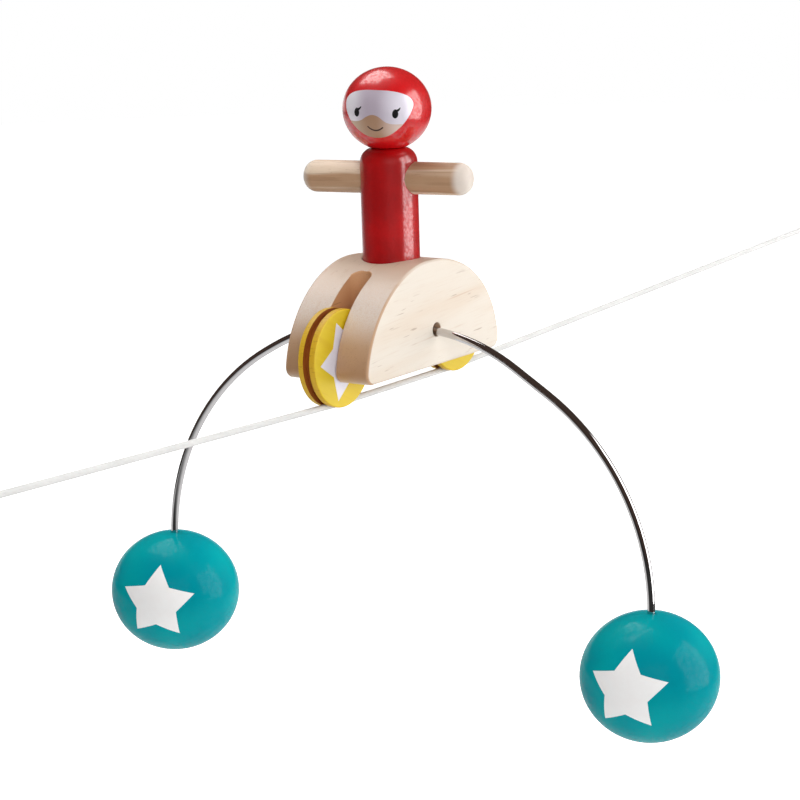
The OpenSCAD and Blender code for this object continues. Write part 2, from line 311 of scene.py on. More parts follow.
def makeArmWood(arm):
    w = armWood
    f = newMaterial(arm + "ArmWood")
    seed = w[arm]["seed"]
    lay = {"turn": (0, 0, -w["turn"]), "shift": (seed, seed * 0.7, seed * 0.4)}
    flow = f.noise((0.014, 0.16, 0.16), 1.0, 2.0, 0.5, 0.5, **lay)
    streak = f.noise((0.022, 0.42, 0.42), 1.0, 3.0, 0.55, 0.3, **lay)
    fine = f.noise((0.06, 2.2, 2.2), 1.3, **lay)
    pores = f.step(f.noise((0.35, 3.0, 3.0), 1.0, 1.0, **lay), 0.68, 0.74)
    lines = f.step(streak, 0.54, 0.58) * (1 - f.step(streak, 0.6, 0.66))
    base = f.mix(f.step(flow, 0.36, 0.54), w["pale"], w["mid"])
    base = f.mix(f.step(streak, 0.48, 0.72) * 0.22, base, w["brown"])
    base = f.mix(lines * 0.18, base, w["brown"])
    base = f.mix(f.step(fine, 0.5, 0.8) * 0.14, base, w["brown"])
    base = f.mix(pores * 0.3, base, w["brown"])
    # the rounded hand is paler: painted highlight where it faces the lamps, and its end grain is
    # paler too
    end = max(abs(corner[0]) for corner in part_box(arm + "_arm")) / mm
    begins, full = (end - depth for depth in w[arm]["tip"])
    tip = f.step(abs(f.split(f.place())[0]), begins, full)
    base = f.mix(tip * w["tipShare"], base, w["tip"])
    return f.surface(
        Base_Color=base,
        Roughness=0.42 + 0.12 * fine,
        Specular_IOR_Level=0.3,
        Normal=f.bump(fine * 0.5 - lines * 0.4 - pores * 0.4, 0.04, 0.5),
    )


dowelWood = {
    "pale": paint(214, 182, 142),
    "deep": paint(182, 142, 100),
    "pore": paint(140, 104, 70),
}


def makeDowelWood():
    w = dowelWood
    f = newMaterial("dowelWood")
    streak = f.noise((0.08, 1.0, 1.0), 1.6, 3.0, 0.6)
    pores = f.step(f.noise((0.2, 1, 1), 3.0, 1.0), 0.6, 0.75)
    base = f.mix(f.step(streak, 0.35, 0.7), w["pale"], w["deep"])
    return f.surface(
        Base_Color=f.mix(pores * 0.4, base, w["pore"]),
        Roughness=0.6 + 0.1 * streak,
        Normal=f.bump(streak - pores, 0.05, 0.5),
    )


redEnamel = {
    "head": (paint(217, 10, 17), paint(206, 8, 15)),
    # the body's red is a darker copy of the head's: painted shade on the torso
    "body": (paint(193, 7, 13), paint(168, 3, 8)),
    "pit": paint(88, 8, 14),
}


def makeRedEnamel(name, tones):
    w = redEnamel
    f = newMaterial(name)
    cloud = f.noise(even, 0.07)
    pores = f.noise((2.4, 2.4, 0.4), 1.0, 2.0, 0.6)
    pits = f.step(pores, 0.68, 0.75)
    skin = f.noise(even, 1.3, 3.0, 0.6)
    base = f.mix(f.step(cloud, 0.35, 0.65), tones[0], tones[1])
    base = f.mix(pits * 0.6, base, w["pit"])
    grain = f.step(f.noise(even, 1.0, 3.0, 0.7), 0.4, 0.56)
    return f.surface(
        Base_Color=base,
        Roughness=0.3 + 0.1 * pores,
        Specular_IOR_Level=0.25,
        Coat_Weight=(0.3 + 0.7 * grain) * (1 - 0.8 * pits),
        Coat_Roughness=0.17,
        Coat_IOR=1.79,
        Normal=f.bump(skin * 0.45 - pits * 0.9 + pores * 0.3, 0.06, 0.7),
    )


tealPaint = {"light": paint(5, 164, 169), "deep": paint(2, 144, 158), "pit": paint(1, 104, 116)}


def makeTealPaint(name, centre):
    w = tealPaint
    f = newMaterial(name)
    cloud = f.noise(even, 0.035, 1.0, shift=centre)
    pores = f.noise((1.6, 1.6, 0.8), 1.2, 3.0, 0.65, shift=centre)
    pits = f.step(pores, 0.6, 0.7)
    grit = f.step(f.noise(even, 1.2, 3.0, 0.7, shift=centre), 0.42, 0.6)
    base = f.mix(f.step(cloud, 0.3, 0.7), w["light"], w["deep"])
    base = f.mix(pits * 0.15, base, w["pit"])
    return f.surface(
        Base_Color=base,
        Roughness=0.6 + 0.1 * pores,
        Specular_IOR_Level=0.0,
        Coat_Weight=0.15 + 0.85 * grit,
        Coat_Roughness=0.15,
        Coat_IOR=1.21,
        Normal=f.bump(pores - pits * 0.6, 0.04, 0.6),
    )


wheelStain = {
    "yellow": paint(235, 204, 38),
    "deep": paint(229, 194, 34),
    "rim": paint(212, 162, 40),
    "groove": paint(158, 86, 32),
    "line": paint(156, 106, 24),
    "grooveHalf": 1.45,
    "grooveRadius": 17.93,
    "grooveSoft": 0.04,
    "rimRadius": (17.5, 17.95),
    "faceHalf": 3.8,
    "faceEase": (0.25, 0.05),
}


def makeWheelStain(name, centre):
    w = wheelStain
    f = newMaterial(name)
    x, y, z = f.split(f.place(shift=centre))
    radius = (y * y + z * z) ** 0.5
    across = abs(x)
    deep, half, soft = w["grooveRadius"], w["grooveHalf"], w["grooveSoft"]
    inGroove = (1 - f.step(radius, deep, deep + soft)) * (1 - f.step(across, half, half + soft))
    easeFrom, easeTo = (w["faceHalf"] - ease for ease in w["faceEase"])
    rim = f.step(radius, *w["rimRadius"]) * (1 - f.step(across, easeFrom, easeTo))
    # the wheel is cut from a board, so its grain runs across the faces and over the rims
    grain = {"shift": centre, "turn": (28, 0, 0)}
    streak = f.noise((0.35, 0.04, 0.3), 1.0, 2.0, 0.5, 0.4, **grain)
    fine = f.noise((0.3, 0.25, 2.6), 1.2, **grain)
    lines = f.step(fine, 0.58, 0.7)
    base = f.mix(f.step(streak, 0.4, 0.7), w["yellow"], w["deep"])
    base = f.mix(rim * 0.75, base, w["rim"])
    base = f.mix(lines * (0.03 + 0.5 * rim), base, w["line"])
    base = f.mix(inGroove, base, w["groove"])
    return f.surface(
        Base_Color=base,
        Roughness=0.42 + 0.12 * fine,
        Specular_IOR_Level=0.3,
        Normal=f.bump(fine * 0.4 - lines * rim * 0.6, 0.04, 0.5),
    )


polishedSteel = {"bright": paint(214, 212, 212), "dull": paint(198, 196, 197)}


def makeSteel():
    w = polishedSteel
    f = newMaterial("polishedSteel")
    draw = f.noise((0.4, 0.4, 0.4))
    fine = f.noise(even, 3.0)
    return f.surface(
        Base_Color=f.mix(draw, w["bright"], w["dull"]),
        Metallic=1.0,
        Roughness=0.04 + 0.04 * fine,
        Normal=f.bump(draw, 0.01, 0.3),
    )


whiteCord = {
    "clean": paint(231, 230, 228),
    "worn": paint(225, 224, 222),
    "yarn": paint(208, 206, 203),
}


def makeCordWhite():
    w = whiteCord
    f = newMaterial("whiteCord")
    yarn = f.noise((3, 3, 3), 1.2)
    soil = f.noise(even, 0.05)
    base = f.mix(f.step(soil, 0.35, 0.65), w["clean"], w["worn"])
    return f.surface(
        Base_Color=f.mix(f.step(yarn, 0.45, 0.75) * 0.25, base, w["yarn"]),
        Roughness=0.75 + 0.15 * yarn,
        Specular_IOR_Level=0.3,
        Normal=f.bump(yarn, 0.08, 0.6),
    )


# each print's two tones, its roughness and its coat
prints = {
    "starWhite": (paint(253, 252, 251), paint(251, 249, 248), 0.5, 0.2),
    "starLilac": (paint(240, 237, 248), paint(235, 232, 243), 0.5, 0.2),
    "eyeBlack": (paint(14, 12, 18), paint(10, 9, 14), 0.35, 0.2),
    "smileBrown": (paint(62, 32, 20), paint(52, 26, 16), 0.45, 0.1),
}


def paintFilm(f, base, rough, coat, metallic=0.0):
    # a thin film with a slight unevenness
    skin = f.noise(even, 1.6)
    return f.surface(
        Base_Color=base,
        Metallic=metallic,
        Roughness=rough + 0.1 * skin,
        Coat_Weight=coat,
        Coat_Roughness=0.12,
        Normal=f.bump(skin, 0.03, 0.5),
    )


def makePrint(name):
    tone, shade, rough, coat = prints[name]
    f = newMaterial(name)
    blot = f.noise(even, 0.25, 3.0, 0.6)
    return paintFilm(f, f.mix(f.step(blot, 0.3, 0.7), tone, shade), rough, coat)


wood = makeCarriageWood()
dowel = makeDowelWood()
headRed = makeRedEnamel("headRed", redEnamel["head"])
# painted shade: the torso takes a darker copy of the head's red enamel
shadedBodyRed = makeRedEnamel("shadedBodyRed", redEnamel["body"])
steel = makeSteel()
cord = makeCordWhite()
printed = {name: makePrint(name) for name in prints}
print("materials made")


# Mesh helpers


def newPiece(name, bm, material, smooth=True):
    mesh = bpy.data.meshes.new(name)
    bmesh.ops.recalc_face_normals(bm, faces=bm.faces)
    bm.to_mesh(mesh)
    bm.free()
    if smooth:
        mesh.shade_smooth()
    piece = bpy.data.objects.new(name, mesh)
    mesh.materials.append(material)
    scene.collection.objects.link(piece)
    return piece


def settle(piece):
    # the piece's modifiers become its mesh
    view = bpy.context.evaluated_depsgraph_get()
    made = bpy.data.meshes.new_from_object(piece.evaluated_get(view))
    old = piece.data
    piece.modifiers.clear()
    piece.data = made
    bpy.data.meshes.remove(old)


def turned(bm, section, steps, place):
    # turns a closed section of (radius, height) about the local Z; radius 0 closes on the axis
    rings = []
    for r, h in section:
        angles = [math.tau * k / steps for k in range(steps if r > 0 else 1)]
        spots = [Vector((r * math.cos(a), r * math.sin(a), h)) for a in angles]
        rings.append([bm.verts.new(place @ spot * mm) for spot in spots])
    for a, b in zip(rings, rings[1:]):
        for k in range(steps):
            n = (k + 1) % steps
            corners = [a[k % len(a)], a[n % len(a)], b[n % len(b)], b[k % len(b)]]
            bm.faces.new(list(dict.fromkeys(corners)))


def tube(bm, rings, place=Matrix()):
    # quads from one ring of points to the next, and a face on each end
    rings = [[bm.verts.new(place @ spot * mm) for spot in ring] for ring in rings]
    for a, b in zip(rings, rings[1:]):
        for k in range(len(a)):
            n = (k + 1) % len(a)
            bm.faces.new((a[k], a[n], b[n], b[k]))
    bm.faces.new(rings[0])
    bm.faces.new(list(reversed(rings[-1])))


def ballSection(shape, start, end):
    # the skin of a flattened ball from one angle to another, where it closes on its axis
    wide, tall, steps = shape["radius"], shape["halfHeight"], shape["skinSteps"]
    angles = [start + (end - start) * k / steps for k in range(steps + 1)]
    skin = [(wide * math.cos(a), tall * math.sin(a)) for a in angles]
    return skin[:-1] + [(0, skin[-1][1])]


def ballReach(way, shape):
    # how far a flattened ball's skin lies from its centre in a direction
    wide, tall = shape["radius"], shape["halfHeight"]
    return 1 / math.sqrt((way.x**2 + way.y**2) / wide**2 + way.z**2 / tall**2)


def wayAt(points, i):
    # the direction of a line of points at one of them
    return (points[min(i + 1, len(points) - 1)] - points[max(i - 1, 0)]).normalized()


# Rope

rope = {
    "diameter": 2.4,
    "relief": 0.17,
    "strandsEachWay": 4,
    "braidPitch": 14.0,
    "sides": 30,
    "ringStep": 0.42,
    "pathStep": 3.0,
    "front": [(0, -38, 0), (0, -41, 0), (0, -100, 1.9), (0, -160, 3.8), (0, -228, 6)],
    "under": [(0, -38, 0), (0, 38, 0)],
    "rear": [(0, 38, 0), (0, 41, 0), (0, 140, 3.7), (0, 240, 7.5), (0, 355, 11.9)],
    "knotTurns": 3,
    "knotRadius": 3.12,
    "knotLength": 9.31,
    "core": [(0, 0, 0), (0, 3.5, 0.4), (0, 7.5, 1.4), (0, 9.51, 1.56)],
    "tailDrop": 2.88,
    "tailLength": 8.0,
    "strandHalfGap": 1.56,
    "loopLead": 2.4,
    "loopReach": 12.0,
    "loopHalfWidth": 7.0,
}


def resample(points, spacing):
    # points along a polyline at even steps
    points = [Vector(p) for p in points]
    lengths = [0.0]
    for a, b in zip(points, points[1:]):
        lengths.append(lengths[-1] + (b - a).length)
    count = max(2, round(lengths[-1] / spacing))
    out, leg = [], 0
    for i in range(count + 1):
        at = lengths[-1] * i / count
        while leg < len(points) - 2 and lengths[leg + 1] < at:
            leg += 1
        t = (at - lengths[leg]) / (lengths[leg + 1] - lengths[leg])
        out.append(points[leg].lerp(points[leg + 1], t))
    return out, lengths[-1]


def eased(points, passes):
    # rings' places along a path, its corners rounded and its ends kept
    out = resample(points, rope["ringStep"])[0]
    for _ in range(passes):
        middle = [(a + 2 * b + c) / 4 for a, b, c in zip(out, out[1:], out[2:])]
        out = [out[0]] + middle + [out[-1]]
    return out


def braidHeight(angle, along):
    # 0 in the creases to 1 on a strand's back, for two sets of strands that weave over each other
    n = rope["strandsEachWay"]
    a = n * (angle / math.tau - along / rope["braidPitch"])
    b = n * (angle / math.tau + along / rope["braidPitch"])
    aOver = (math.floor(a) + math.floor(b)) % 2 == 0
    across, lengthwise = (a % 1, b % 1) if aOver else (b % 1, a % 1)
    crown = math.sqrt(max(0.0, 1 - (2 * across - 1) ** 2))
    return crown**0.8 * (0.5 + 0.5 * math.sin(math.pi * lengthwise) ** 0.7)


def braid(bm, points, start=0.0, place=Matrix(), roundEnd=False):
    # sweeps the braid along evenly spaced points; start is the rope's length before them
    sides = rope["sides"]
    full = rope["diameter"] / 2
    side = Vector((1, 0, 0))
    along = start
    rings = []
    for i, point in enumerate(points):
        way = wayAt(points, i)
        side = (side - way * side.dot(way)).normalized()
        up = side.cross(way)
        if i:
            along += (point - points[i - 1]).length
        left = (points[-1] - point).length
        cap = math.sqrt(max(0.02, 1 - max(0.0, 1 - left / full) ** 2)) if roundEnd else 1.0
        ring = []
        for k in range(sides):
            angle = math.tau * (k + 0.5) / sides
            r = (full - rope["relief"] * (1 - braidHeight(angle, along))) * cap
            ring.append(point + r * (math.cos(angle) * side + math.sin(angle) * up))
        rings.append(ring)
    tube(bm, rings, place)
    return along


def endPlace(route):
    # where a run ends, with +Y running on along the rope
    last, before = Vector(route[-1]), Vector(route[-2])
    way = last - before
    half = Matrix.Rotation(0 if way.y > 0 else math.pi, 4, "Z")
    rise = Matrix.Rotation(math.atan2(way.z, abs(way.y)), 4, "X")
    return Matrix.Translation(last) @ half @ rise


def loopPath():
    # square out of the knot, round the eye and back
    w, reach, gap = rope["loopHalfWidth"], rope["loopReach"], rope["strandHalfGap"]
    start, lead = rope["knotLength"], rope["loopLead"]
    out = [(0, start, gap)]
    for i in range(17):
        s = i / 16
        out.append((0, start + lead + s * (reach - lead), gap + (w - gap) * s * s * (3 - 2 * s)))
    turns = [math.pi * k / 24 for k in range(1, 24)]
    bend = [(0, start + reach + w * math.sin(a), w * math.cos(a)) for a in turns]
    back = [(x, y, -z) for x, y, z in reversed(out)]
    return out + bend + back


def knotPath():
    # from the loop's lower strand, round the core towards the walker, then the cut tail
    gap, radius, half = rope["strandHalfGap"], rope["knotRadius"], rope["diameter"] / 2
    low, high = half, rope["knotLength"] - half
    path = [(0, rope["knotLength"] + 0.2, -gap)]
    turns = rope["knotTurns"]
    count = 40 * turns
    for i in range(count + 1):
        t = i / count
        angle = -math.pi / 2 + math.tau * turns * t
        r = gap + (radius - gap) * min(1.0, t * turns * 5)
        path.append((r * math.cos(angle), high + (low - high) * t, r * math.sin(angle)))
    drop, tail = rope["tailDrop"], rope["tailLength"]
    return path + [(0.3, -0.4, -drop - 0.15), (0.2, -tail / 2, -drop - 0.1), (0, -tail, -drop)]


def makeRun(name, route, node):
    bm = bmesh.new()
    points, length = resample(route, rope["ringStep"])
    braid(bm, points)
    piece = newPiece(name, bm, cord)
    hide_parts(node)
    path = [tuple(p * mm) for p in resample(route, rope["pathStep"])[0]]
    return piece, path, length * mm


def makeEnd(label, route):
    place = endPlace(route)
    knotMesh, loopMesh = bmesh.new(), bmesh.new()
    # the standing rope runs through the core and becomes the loop's upper strand
    at = braid(knotMesh, eased(rope["core"], 12), 0.0, place)
    at = braid(loopMesh, eased(loopPath(), 4), at, place)
    braid(knotMesh, eased(knotPath(), 10), at, place, roundEnd=True)
    knot = newPiece(label + "Knot", knotMesh, cord)
    loop = newPiece(label + "Loop", loopMesh, cord)
    for piece, node in ((knot, "knot"), (loop, "loop")):
        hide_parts("rope_" + label + "_" + node)
        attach(piece, "rope")
    return [knot, loop]


ends = {label: makeEnd(label, rope[label]) for label in ("front", "rear")}
for label, end in ends.items():
    run, path, length = makeRun(label + "Run", rope[label], "rope_" + label + "_run")
    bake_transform(run)
    print(label, "run made: %.0f mm" % (length / mm))
run, path, length = makeRun("underWalker", rope["under"], "rope_under_walker")
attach(run, "rope_dip")
print("rope under the walker made: %.0f mm" % (length / mm))


# Carriage

carriage = {
    "length": 89.0,
    "width": 36.9,
    "height": 39.8,
    "bottom": 8.9,
    "crownAhead": 2.3,
    "frontFullness": 1.92,
    "rearFullness": 2.16,
    "curveSteps": 3000,
    "outlineStep": 0.9,
    "cornerRadius": 4.0,
    "cornerSteps": 10,
    "longEase": 1.2,
    "mouthEase": 0.32,
    "mouthSteps": 3,
    "mouthAngle": 38.0,
    "mergeWithin": 0.09,
    "dropWithin": 0.02,
    "slotWidth": 9.0,
    "slotEnd": 16.9,
    "axleY": 38.0,
    "axleZ": 17.2,
    "axleHole": 2.55,
    "axleSkin": 5.0,
    "boreY": 1.4,
    "boreZ": 22.4,
    "boreRadius": 2.6,
    "socketRadius": 11.0,
    "socketDepth": 12.0,
    # how far ahead the eased edges begin to turn brown and are full
    "brownEdge": (12.0, 32.0),
    "normalWeight": 80,
    # how far out the cutters reach
    "cutAcross": 20.0,
    "cutAlong": 70.0,
    "cutTop": 60.0,
}


def carriageProfile():
    # side view as points (y, z) and their normals, round from the crown to the rear and back
    c = carriage
    corner, steps = c["cornerRadius"], c["curveSteps"]

    def curve(side, a):
        reach = c["length"] / 2 + side * c["crownAhead"]
        power = 2 / (c["rearFullness"] if side > 0 else c["frontFullness"])
        return Vector((side * reach * math.cos(a) ** power, c["height"] * math.sin(a) ** power))

    halves = []
    for side in (1, -1):
        points = [curve(side, math.radians(90 * k / steps)) for k in range(steps + 1)]
        # halving finds where the corner's arc just touches the curve
        low, high = 0.0, c["length"] / 2
        for _ in range(40):
            mid = (low + high) / 2
            spot = Vector((side * mid, corner))
            if min((p - spot).length for p in points[::10]) > corner:
                low = mid
            else:
                high = mid
        spot = Vector((side * low, corner))
        touch = min(range(len(points)), key=lambda i: (points[i] - spot).length)
        start = math.atan2(points[touch].y - corner, side * (points[touch].x - spot.x))
        arc = []
        for k in range(1, c["cornerSteps"] + 1):
            a = start + (-math.pi / 2 - start) * k / c["cornerSteps"]
            arc.append(spot + corner * Vector((side * math.cos(a), math.sin(a))))
        halves.append(resample(points[touch:][::-1], c["outlineStep"])[0] + arc)
    rear, front = halves
    outline = rear + list(reversed(front))[:-1]
    outline = [Vector((p.x - c["crownAhead"], p.y + c["bottom"])) for p in outline]
    out = []
    for i, p in enumerate(outline):
        way = outline[(i + 1) % len(outline)] - outline[i - 1]
        out.append((p, Vector((-way.y, way.x)).normalized()))
    return out


def carriageSolid():
    c = carriage
    outline = carriageProfile()
    ease, half = c["longEase"], c["width"] / 2
    angles = [math.radians(a) for a in (90, 67.5, 45, 22.5, 0)]
    slices = [(half - ease + ease * math.sin(a), ease * (1 - math.cos(a))) for a in angles]
    slices += [(-x, inset) for x, inset in reversed(slices)]
    rings = []
    for x, inset in slices:
        rings.append([Vector((x, p.x - n.x * inset, p.y - n.y * inset)) for p, n in outline])
    bm = bmesh.new()
    tube(bm, rings)
    return newPiece("carriage", bm, wood)


def cutterPrism(outline, low, high, place=Matrix()):
    bm = bmesh.new()
    tube(bm, [[Vector((x, y, z)) for x, y in outline] for z in (low, high)], place)
    return newPiece("cutter", bm, wood)


def circleOutline(radius, steps):
    angles = [math.tau * k / steps for k in range(steps)]
    return [(radius * math.cos(a), radius * math.sin(a)) for a in angles]


def acrossBlock(y, z):
    # places a cutter with its own Z along X
    return Matrix.Translation((0, y, z)) @ Matrix.Rotation(math.pi / 2, 4, "Y")


def carriageCutters():
    c = carriage
    half, middle = c["slotWidth"] / 2, c["slotEnd"] + c["slotWidth"] / 2
    across, along = c["cutAcross"], c["cutAlong"]
    bend = [math.pi * k / 20 for k in range(21)]
    cutters = []
    for side in (-1, 1):
        plan = [(half * math.cos(a), side * (middle - half * math.sin(a))) for a in bend]
        plan += [(-half, side * along), (half, side * along)]
        cutters.append(cutterPrism(plan, 0, c["cutTop"]))
        hole = circleOutline(c["axleHole"], 40)
        place = acrossBlock(side * c["axleY"], c["axleZ"])
        cutters.append(cutterPrism(hole, -across, c["width"] / 2 - c["axleSkin"], place))
    bore = circleOutline(c["boreRadius"], 40)
    cutters.append(cutterPrism(bore, -across, across, acrossBlock(c["boreY"], c["boreZ"])))
    top = c["bottom"] + c["height"]
    socket = circleOutline(c["socketRadius"], 80)
    cutters.append(cutterPrism(socket, top - c["socketDepth"], c["cutTop"]))
    return cutters


def markCarriage(mesh):
    # where the grain ends, where the slots were cut and where the long edges are eased
    c = carriage
    endGrain = [max(0.0, (abs(n.vector.y) - 0.25) / 0.75) ** 1.2 for n in mesh.vertex_normals]
    slots, edges, strips = [], [], []
    begins, full = c["brownEdge"]
    for part in mesh.polygons:
        x, y, _ = part.center / mm
        tilt = abs(part.normal.x)
        inSlot = abs(x) < c["slotWidth"] / 2 + 0.02 and abs(y) > c["slotEnd"] - 0.05
        slots.append(1.0 if inSlot else 0.0)
        onEase = abs(x) > c["width"] / 2 - c["longEase"] and 0.3 < tilt < 0.9
        ahead = min(1.0, max(0.0, (-y - begins) / (full - begins)))
        edges.append(0.2 + 0.8 * ahead if onEase else 0.0)
        strips.append(1.0 if tilt < 0.5 and not inSlot else 0.0)
    marks = {"endGrain": endGrain, "inside": slots, "edge": edges, "strip": strips}
    for mark, values in marks.items():
        domain = "POINT" if mark == "endGrain" else "FACE"
        mesh.attributes.new(mark, "FLOAT", domain).data.foreach_set("value", values)


def makeCarriage():
    c = carriage
    piece = carriageSolid()
    for cutter in carriageCutters():
        cut = piece.modifiers.new("cut", "BOOLEAN")
        cut.operation = "DIFFERENCE"
        cut.solver = "EXACT"
        cut.object = cutter
        settle(piece)
        bpy.data.objects.remove(cutter)
    bm = bmesh.new()
    bm.from_mesh(piece.data)
    bmesh.ops.remove_doubles(bm, verts=bm.verts, dist=c["mergeWithin"] * mm)
    bmesh.ops.dissolve_degenerate(bm, edges=bm.edges, dist=c["dropWithin"] * mm)
    bm.to_mesh(piece.data)
    bm.free()
    ease = piece.modifiers.new("ease", "BEVEL")
    ease.width = c["mouthEase"] * mm
    ease.segments = c["mouthSteps"]
    ease.limit_method = "ANGLE"
    ease.angle_limit = math.radians(c["mouthAngle"])
    ease.use_clamp_overlap = False
    ease.miter_outer = "MITER_ARC"
    settle(piece)
    piece.data.shade_smooth()
    flat = piece.modifiers.new("flat", "WEIGHTED_NORMAL")
    flat.keep_sharp = False
    flat.weight = c["normalWeight"]
    markCarriage(piece.data)
    piece.data.materials.clear()
    piece.data.materials.append(wood)
    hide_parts("carriage_block")
    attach(piece, "carriage")


makeCarriage()
print("carriage made")


# Balls

ball = {
    "radius": 25.6,
    "halfHeight": 24.05,
    "skinSteps": 72,
    "turnSteps": 128,
    "wireShift": 2.5,
    "wireBack": 1.4,
    "wireZ": 22.1,
    "wireFlat": 10.0,
    "bendRadius": 96.0,
    "roll": 2.1,
    "yaw": 3.1,
    "bite": 1.5,
    "hole": 1.55,
    "holeDepth": 14.4,
    "holeEase": 0.2,
    "holeEaseSteps": 4,
}


def ballPlace(side):
    # the ball's own frame: centre at its middle, Z up along its wire
    b = ball
    bend = b["bendRadius"]
    start = Vector((b["wireFlat"], 0, 0))
    yaw = Matrix.Rotation(math.radians(side * b["yaw"]), 4, "Z")
    roll = Matrix.Rotation(math.radians(side * b["roll"]), 4, "Y")
    lean = yaw @ roll
    hang = Vector((b["wireFlat"] + bend, 0, b["bite"] - bend - b["halfHeight"]))
    mirror = Matrix.Scale(side, 4, (1, 0, 0))
    return (
        Matrix.Translation((b["wireShift"], b["wireBack"], b["wireZ"]))
        @ mirror
        @ Matrix.Translation(start)
        @ lean
        @ Matrix.Translation(-start)
        @ Matrix.Translation(hang)
    )


def makeBall(label, side, node):
    b = ball
    place = ballPlace(side)
    hole, ease, steps = b["hole"], b["holeEase"], b["holeEaseSteps"]
    floor = b["halfHeight"] - b["holeDepth"]
    rimAngle = math.acos((hole + ease) / b["radius"])
    rim = b["halfHeight"] * math.sin(rimAngle)
    section = [(0, floor), (hole, floor), (hole, rim - ease)]
    for k in range(1, steps + 1):
        a = math.pi / 2 * k / steps
        section.append((hole + ease * (1 - math.cos(a)), rim - ease * (1 - math.sin(a))))
    section += ballSection(b, rimAngle, -math.pi / 2)[1:]
    bm = bmesh.new()
    turned(bm, section, b["turnSteps"], place)
    piece = newPiece(label, bm, makeTealPaint(label + "Teal", tuple(place.translation)))
    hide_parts(node)
    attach(piece, "counterweight")
    return place


leftPlace = makeBall("leftBall", 1, "left_ball")
rightPlace = makeBall("rightBall", -1, "right_ball")
print("balls made")


# Printed films


def film(name, outline, onto, material, lift=0.03, grid=1.0, sink=0.12):
    # a thin closed layer of paint: outline is in the surface's own (u, v), and onto turns
    # (u, v, height) into a point in millimetres
    points = [Vector(p) for p in outline]
    edge = [(i, (i + 1) % len(points)) for i in range(len(points))]
    lowU, highU = min(p.x for p in points), max(p.x for p in points)
    lowV, highV = min(p.y for p in points), max(p.y for p in points)
    inner = []
    u = lowU + grid / 2
    while u < highU:
        v = lowV + grid / 2
        while v < highV:
            spot = Vector((u, v))
            if inside(spot, points) and min((spot - p).length for p in points) > grid * 0.45:
                inner.append(spot)
            v += grid
        u += grid
    loop = [list(range(len(points)))]
    verts, _, faces, _, _, _ = delaunay_2d_cdt(points + inner, edge, loop, 1, 1e-6)
    bm = bmesh.new()
    top = [bm.verts.new(onto(p.x, p.y, lift) * mm) for p in verts]
    low = [bm.verts.new(onto(p.x, p.y, -sink) * mm) for p in verts]
    for face in faces:
        bm.faces.new([top[i] for i in face])
        bm.faces.new([low[i] for i in reversed(face)])
    under = dict(zip(top, low))
    for rim in [e for e in bm.edges if len(e.link_faces) == 1 and e.verts[0] in under]:
        a, b = rim.verts
        bm.faces.new((a, b, under[b], under[a]))
    return newPiece(name, bm, material, smooth=False)


def inside(spot, points):
    # whether a closed outline holds a point
    hit = False
    for a, b in zip(points, points[1:] + points[:1]):
        if (a.y > spot.y) != (b.y > spot.y):
            if spot.x < (b.x - a.x) * (spot.y - a.y) / (b.y - a.y) + a.x:
                hit = not hit
    return hit


def dense(outline, spacing):
    # a closed outline with points added along its straight sides
    out = []
    for a, b in zip(outline, outline[1:] + outline[:1]):
        a, b = Vector(a), Vector(b)
        count = max(1, math.ceil((b - a).length / spacing))
        out += [a.lerp(b, k / count) for k in range(count)]
    return out


def starOutline(outer, innerShare, turn):
    corners = []
    for k in range(10):
        r = outer if k % 2 == 0 else outer * innerShare
        a = math.radians(90 + turn + 36 * k)
        corners.append((r * math.cos(a), r * math.sin(a)))
    return corners


star = {
    "ballOuter": 16.2,
    "ballInner": 0.536,
    "ballStep": 0.6,
    "right": {"azimuth": 20.6, "elevation": 2.1, "turn": -3.7},
    "left": {"azimuth": 8.9, "elevation": 3.5, "turn": -2.5},
    "wheelOuter": 15.1,
    "wheelInner": 0.584,
    "wheelStep": 0.8,
    "wheelTurn": 17.4,
    "wheelOff": (0.7, -0.72),
    "onWheels": ("front",),
}


def makeBallStar(label, place, facts):
    centre = place.translation
    right, up, out = lookAxes(facts["azimuth"], facts["elevation"])
    toBall = place.to_3x3().inverted()

    def onto(u, v, height):
        reach = math.hypot(u, v)
        a = reach / ball["radius"]
        side = (right * u + up * v) / reach if reach > 1e-9 else right
        way = (out * math.cos(a) + side * math.sin(a)).normalized()
        return centre + way * (ballReach(toBall @ way, ball) + height)

    corners = starOutline(star["ballOuter"], star["ballInner"], facts["turn"])
    piece = film(label, dense(corners, star["ballStep"]), onto, printed["starWhite"])
    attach(piece, "counterweight")


def makeWheelStar(label, centre, side, body):
    def onto(u, v, height):
        return Vector((side * (wheelStain["faceHalf"] + height), centre[1] + u, centre[2] + v))

    offU, offV = star["wheelOff"]
    corners = starOutline(star["wheelOuter"], star["wheelInner"], side * star["wheelTurn"])
    outline = dense([(u + offU, v + offV) for u, v in corners], star["wheelStep"])
    piece = film(label, outline, onto, printed["starLilac"])
    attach(piece, body)


makeBallStar("rightBallStar", rightPlace, star["right"])
makeBallStar("leftBallStar", leftPlace, star["left"])
for label, along in (("front", -1), ("rear", 1)):
    body = label + "_wheel"
    centre = (0, along * carriage["axleY"], carriage["axleZ"])
    bpy.data.objects[body].material_slots[0].material = makeWheelStain(label + "Stain", centre)
    if label in star["onWheels"]:
        makeWheelStar(label + "StarLeft", centre, 1, body)
        makeWheelStar(label + "StarRight", centre, -1, body)
print("stars made")


# Head and face

head = {
    "radius": 16.45,
    "halfHeight": 15.4,
    "skinSteps": 90,
    "turnSteps": 144,
    "centreZ": 103.7,
    "seatZ": 89.6,
    "seatEase": 0.35,
    "seatSkin": 2.0,
    "neckHole": 3.05,
    "holeTop": 100.0,
}


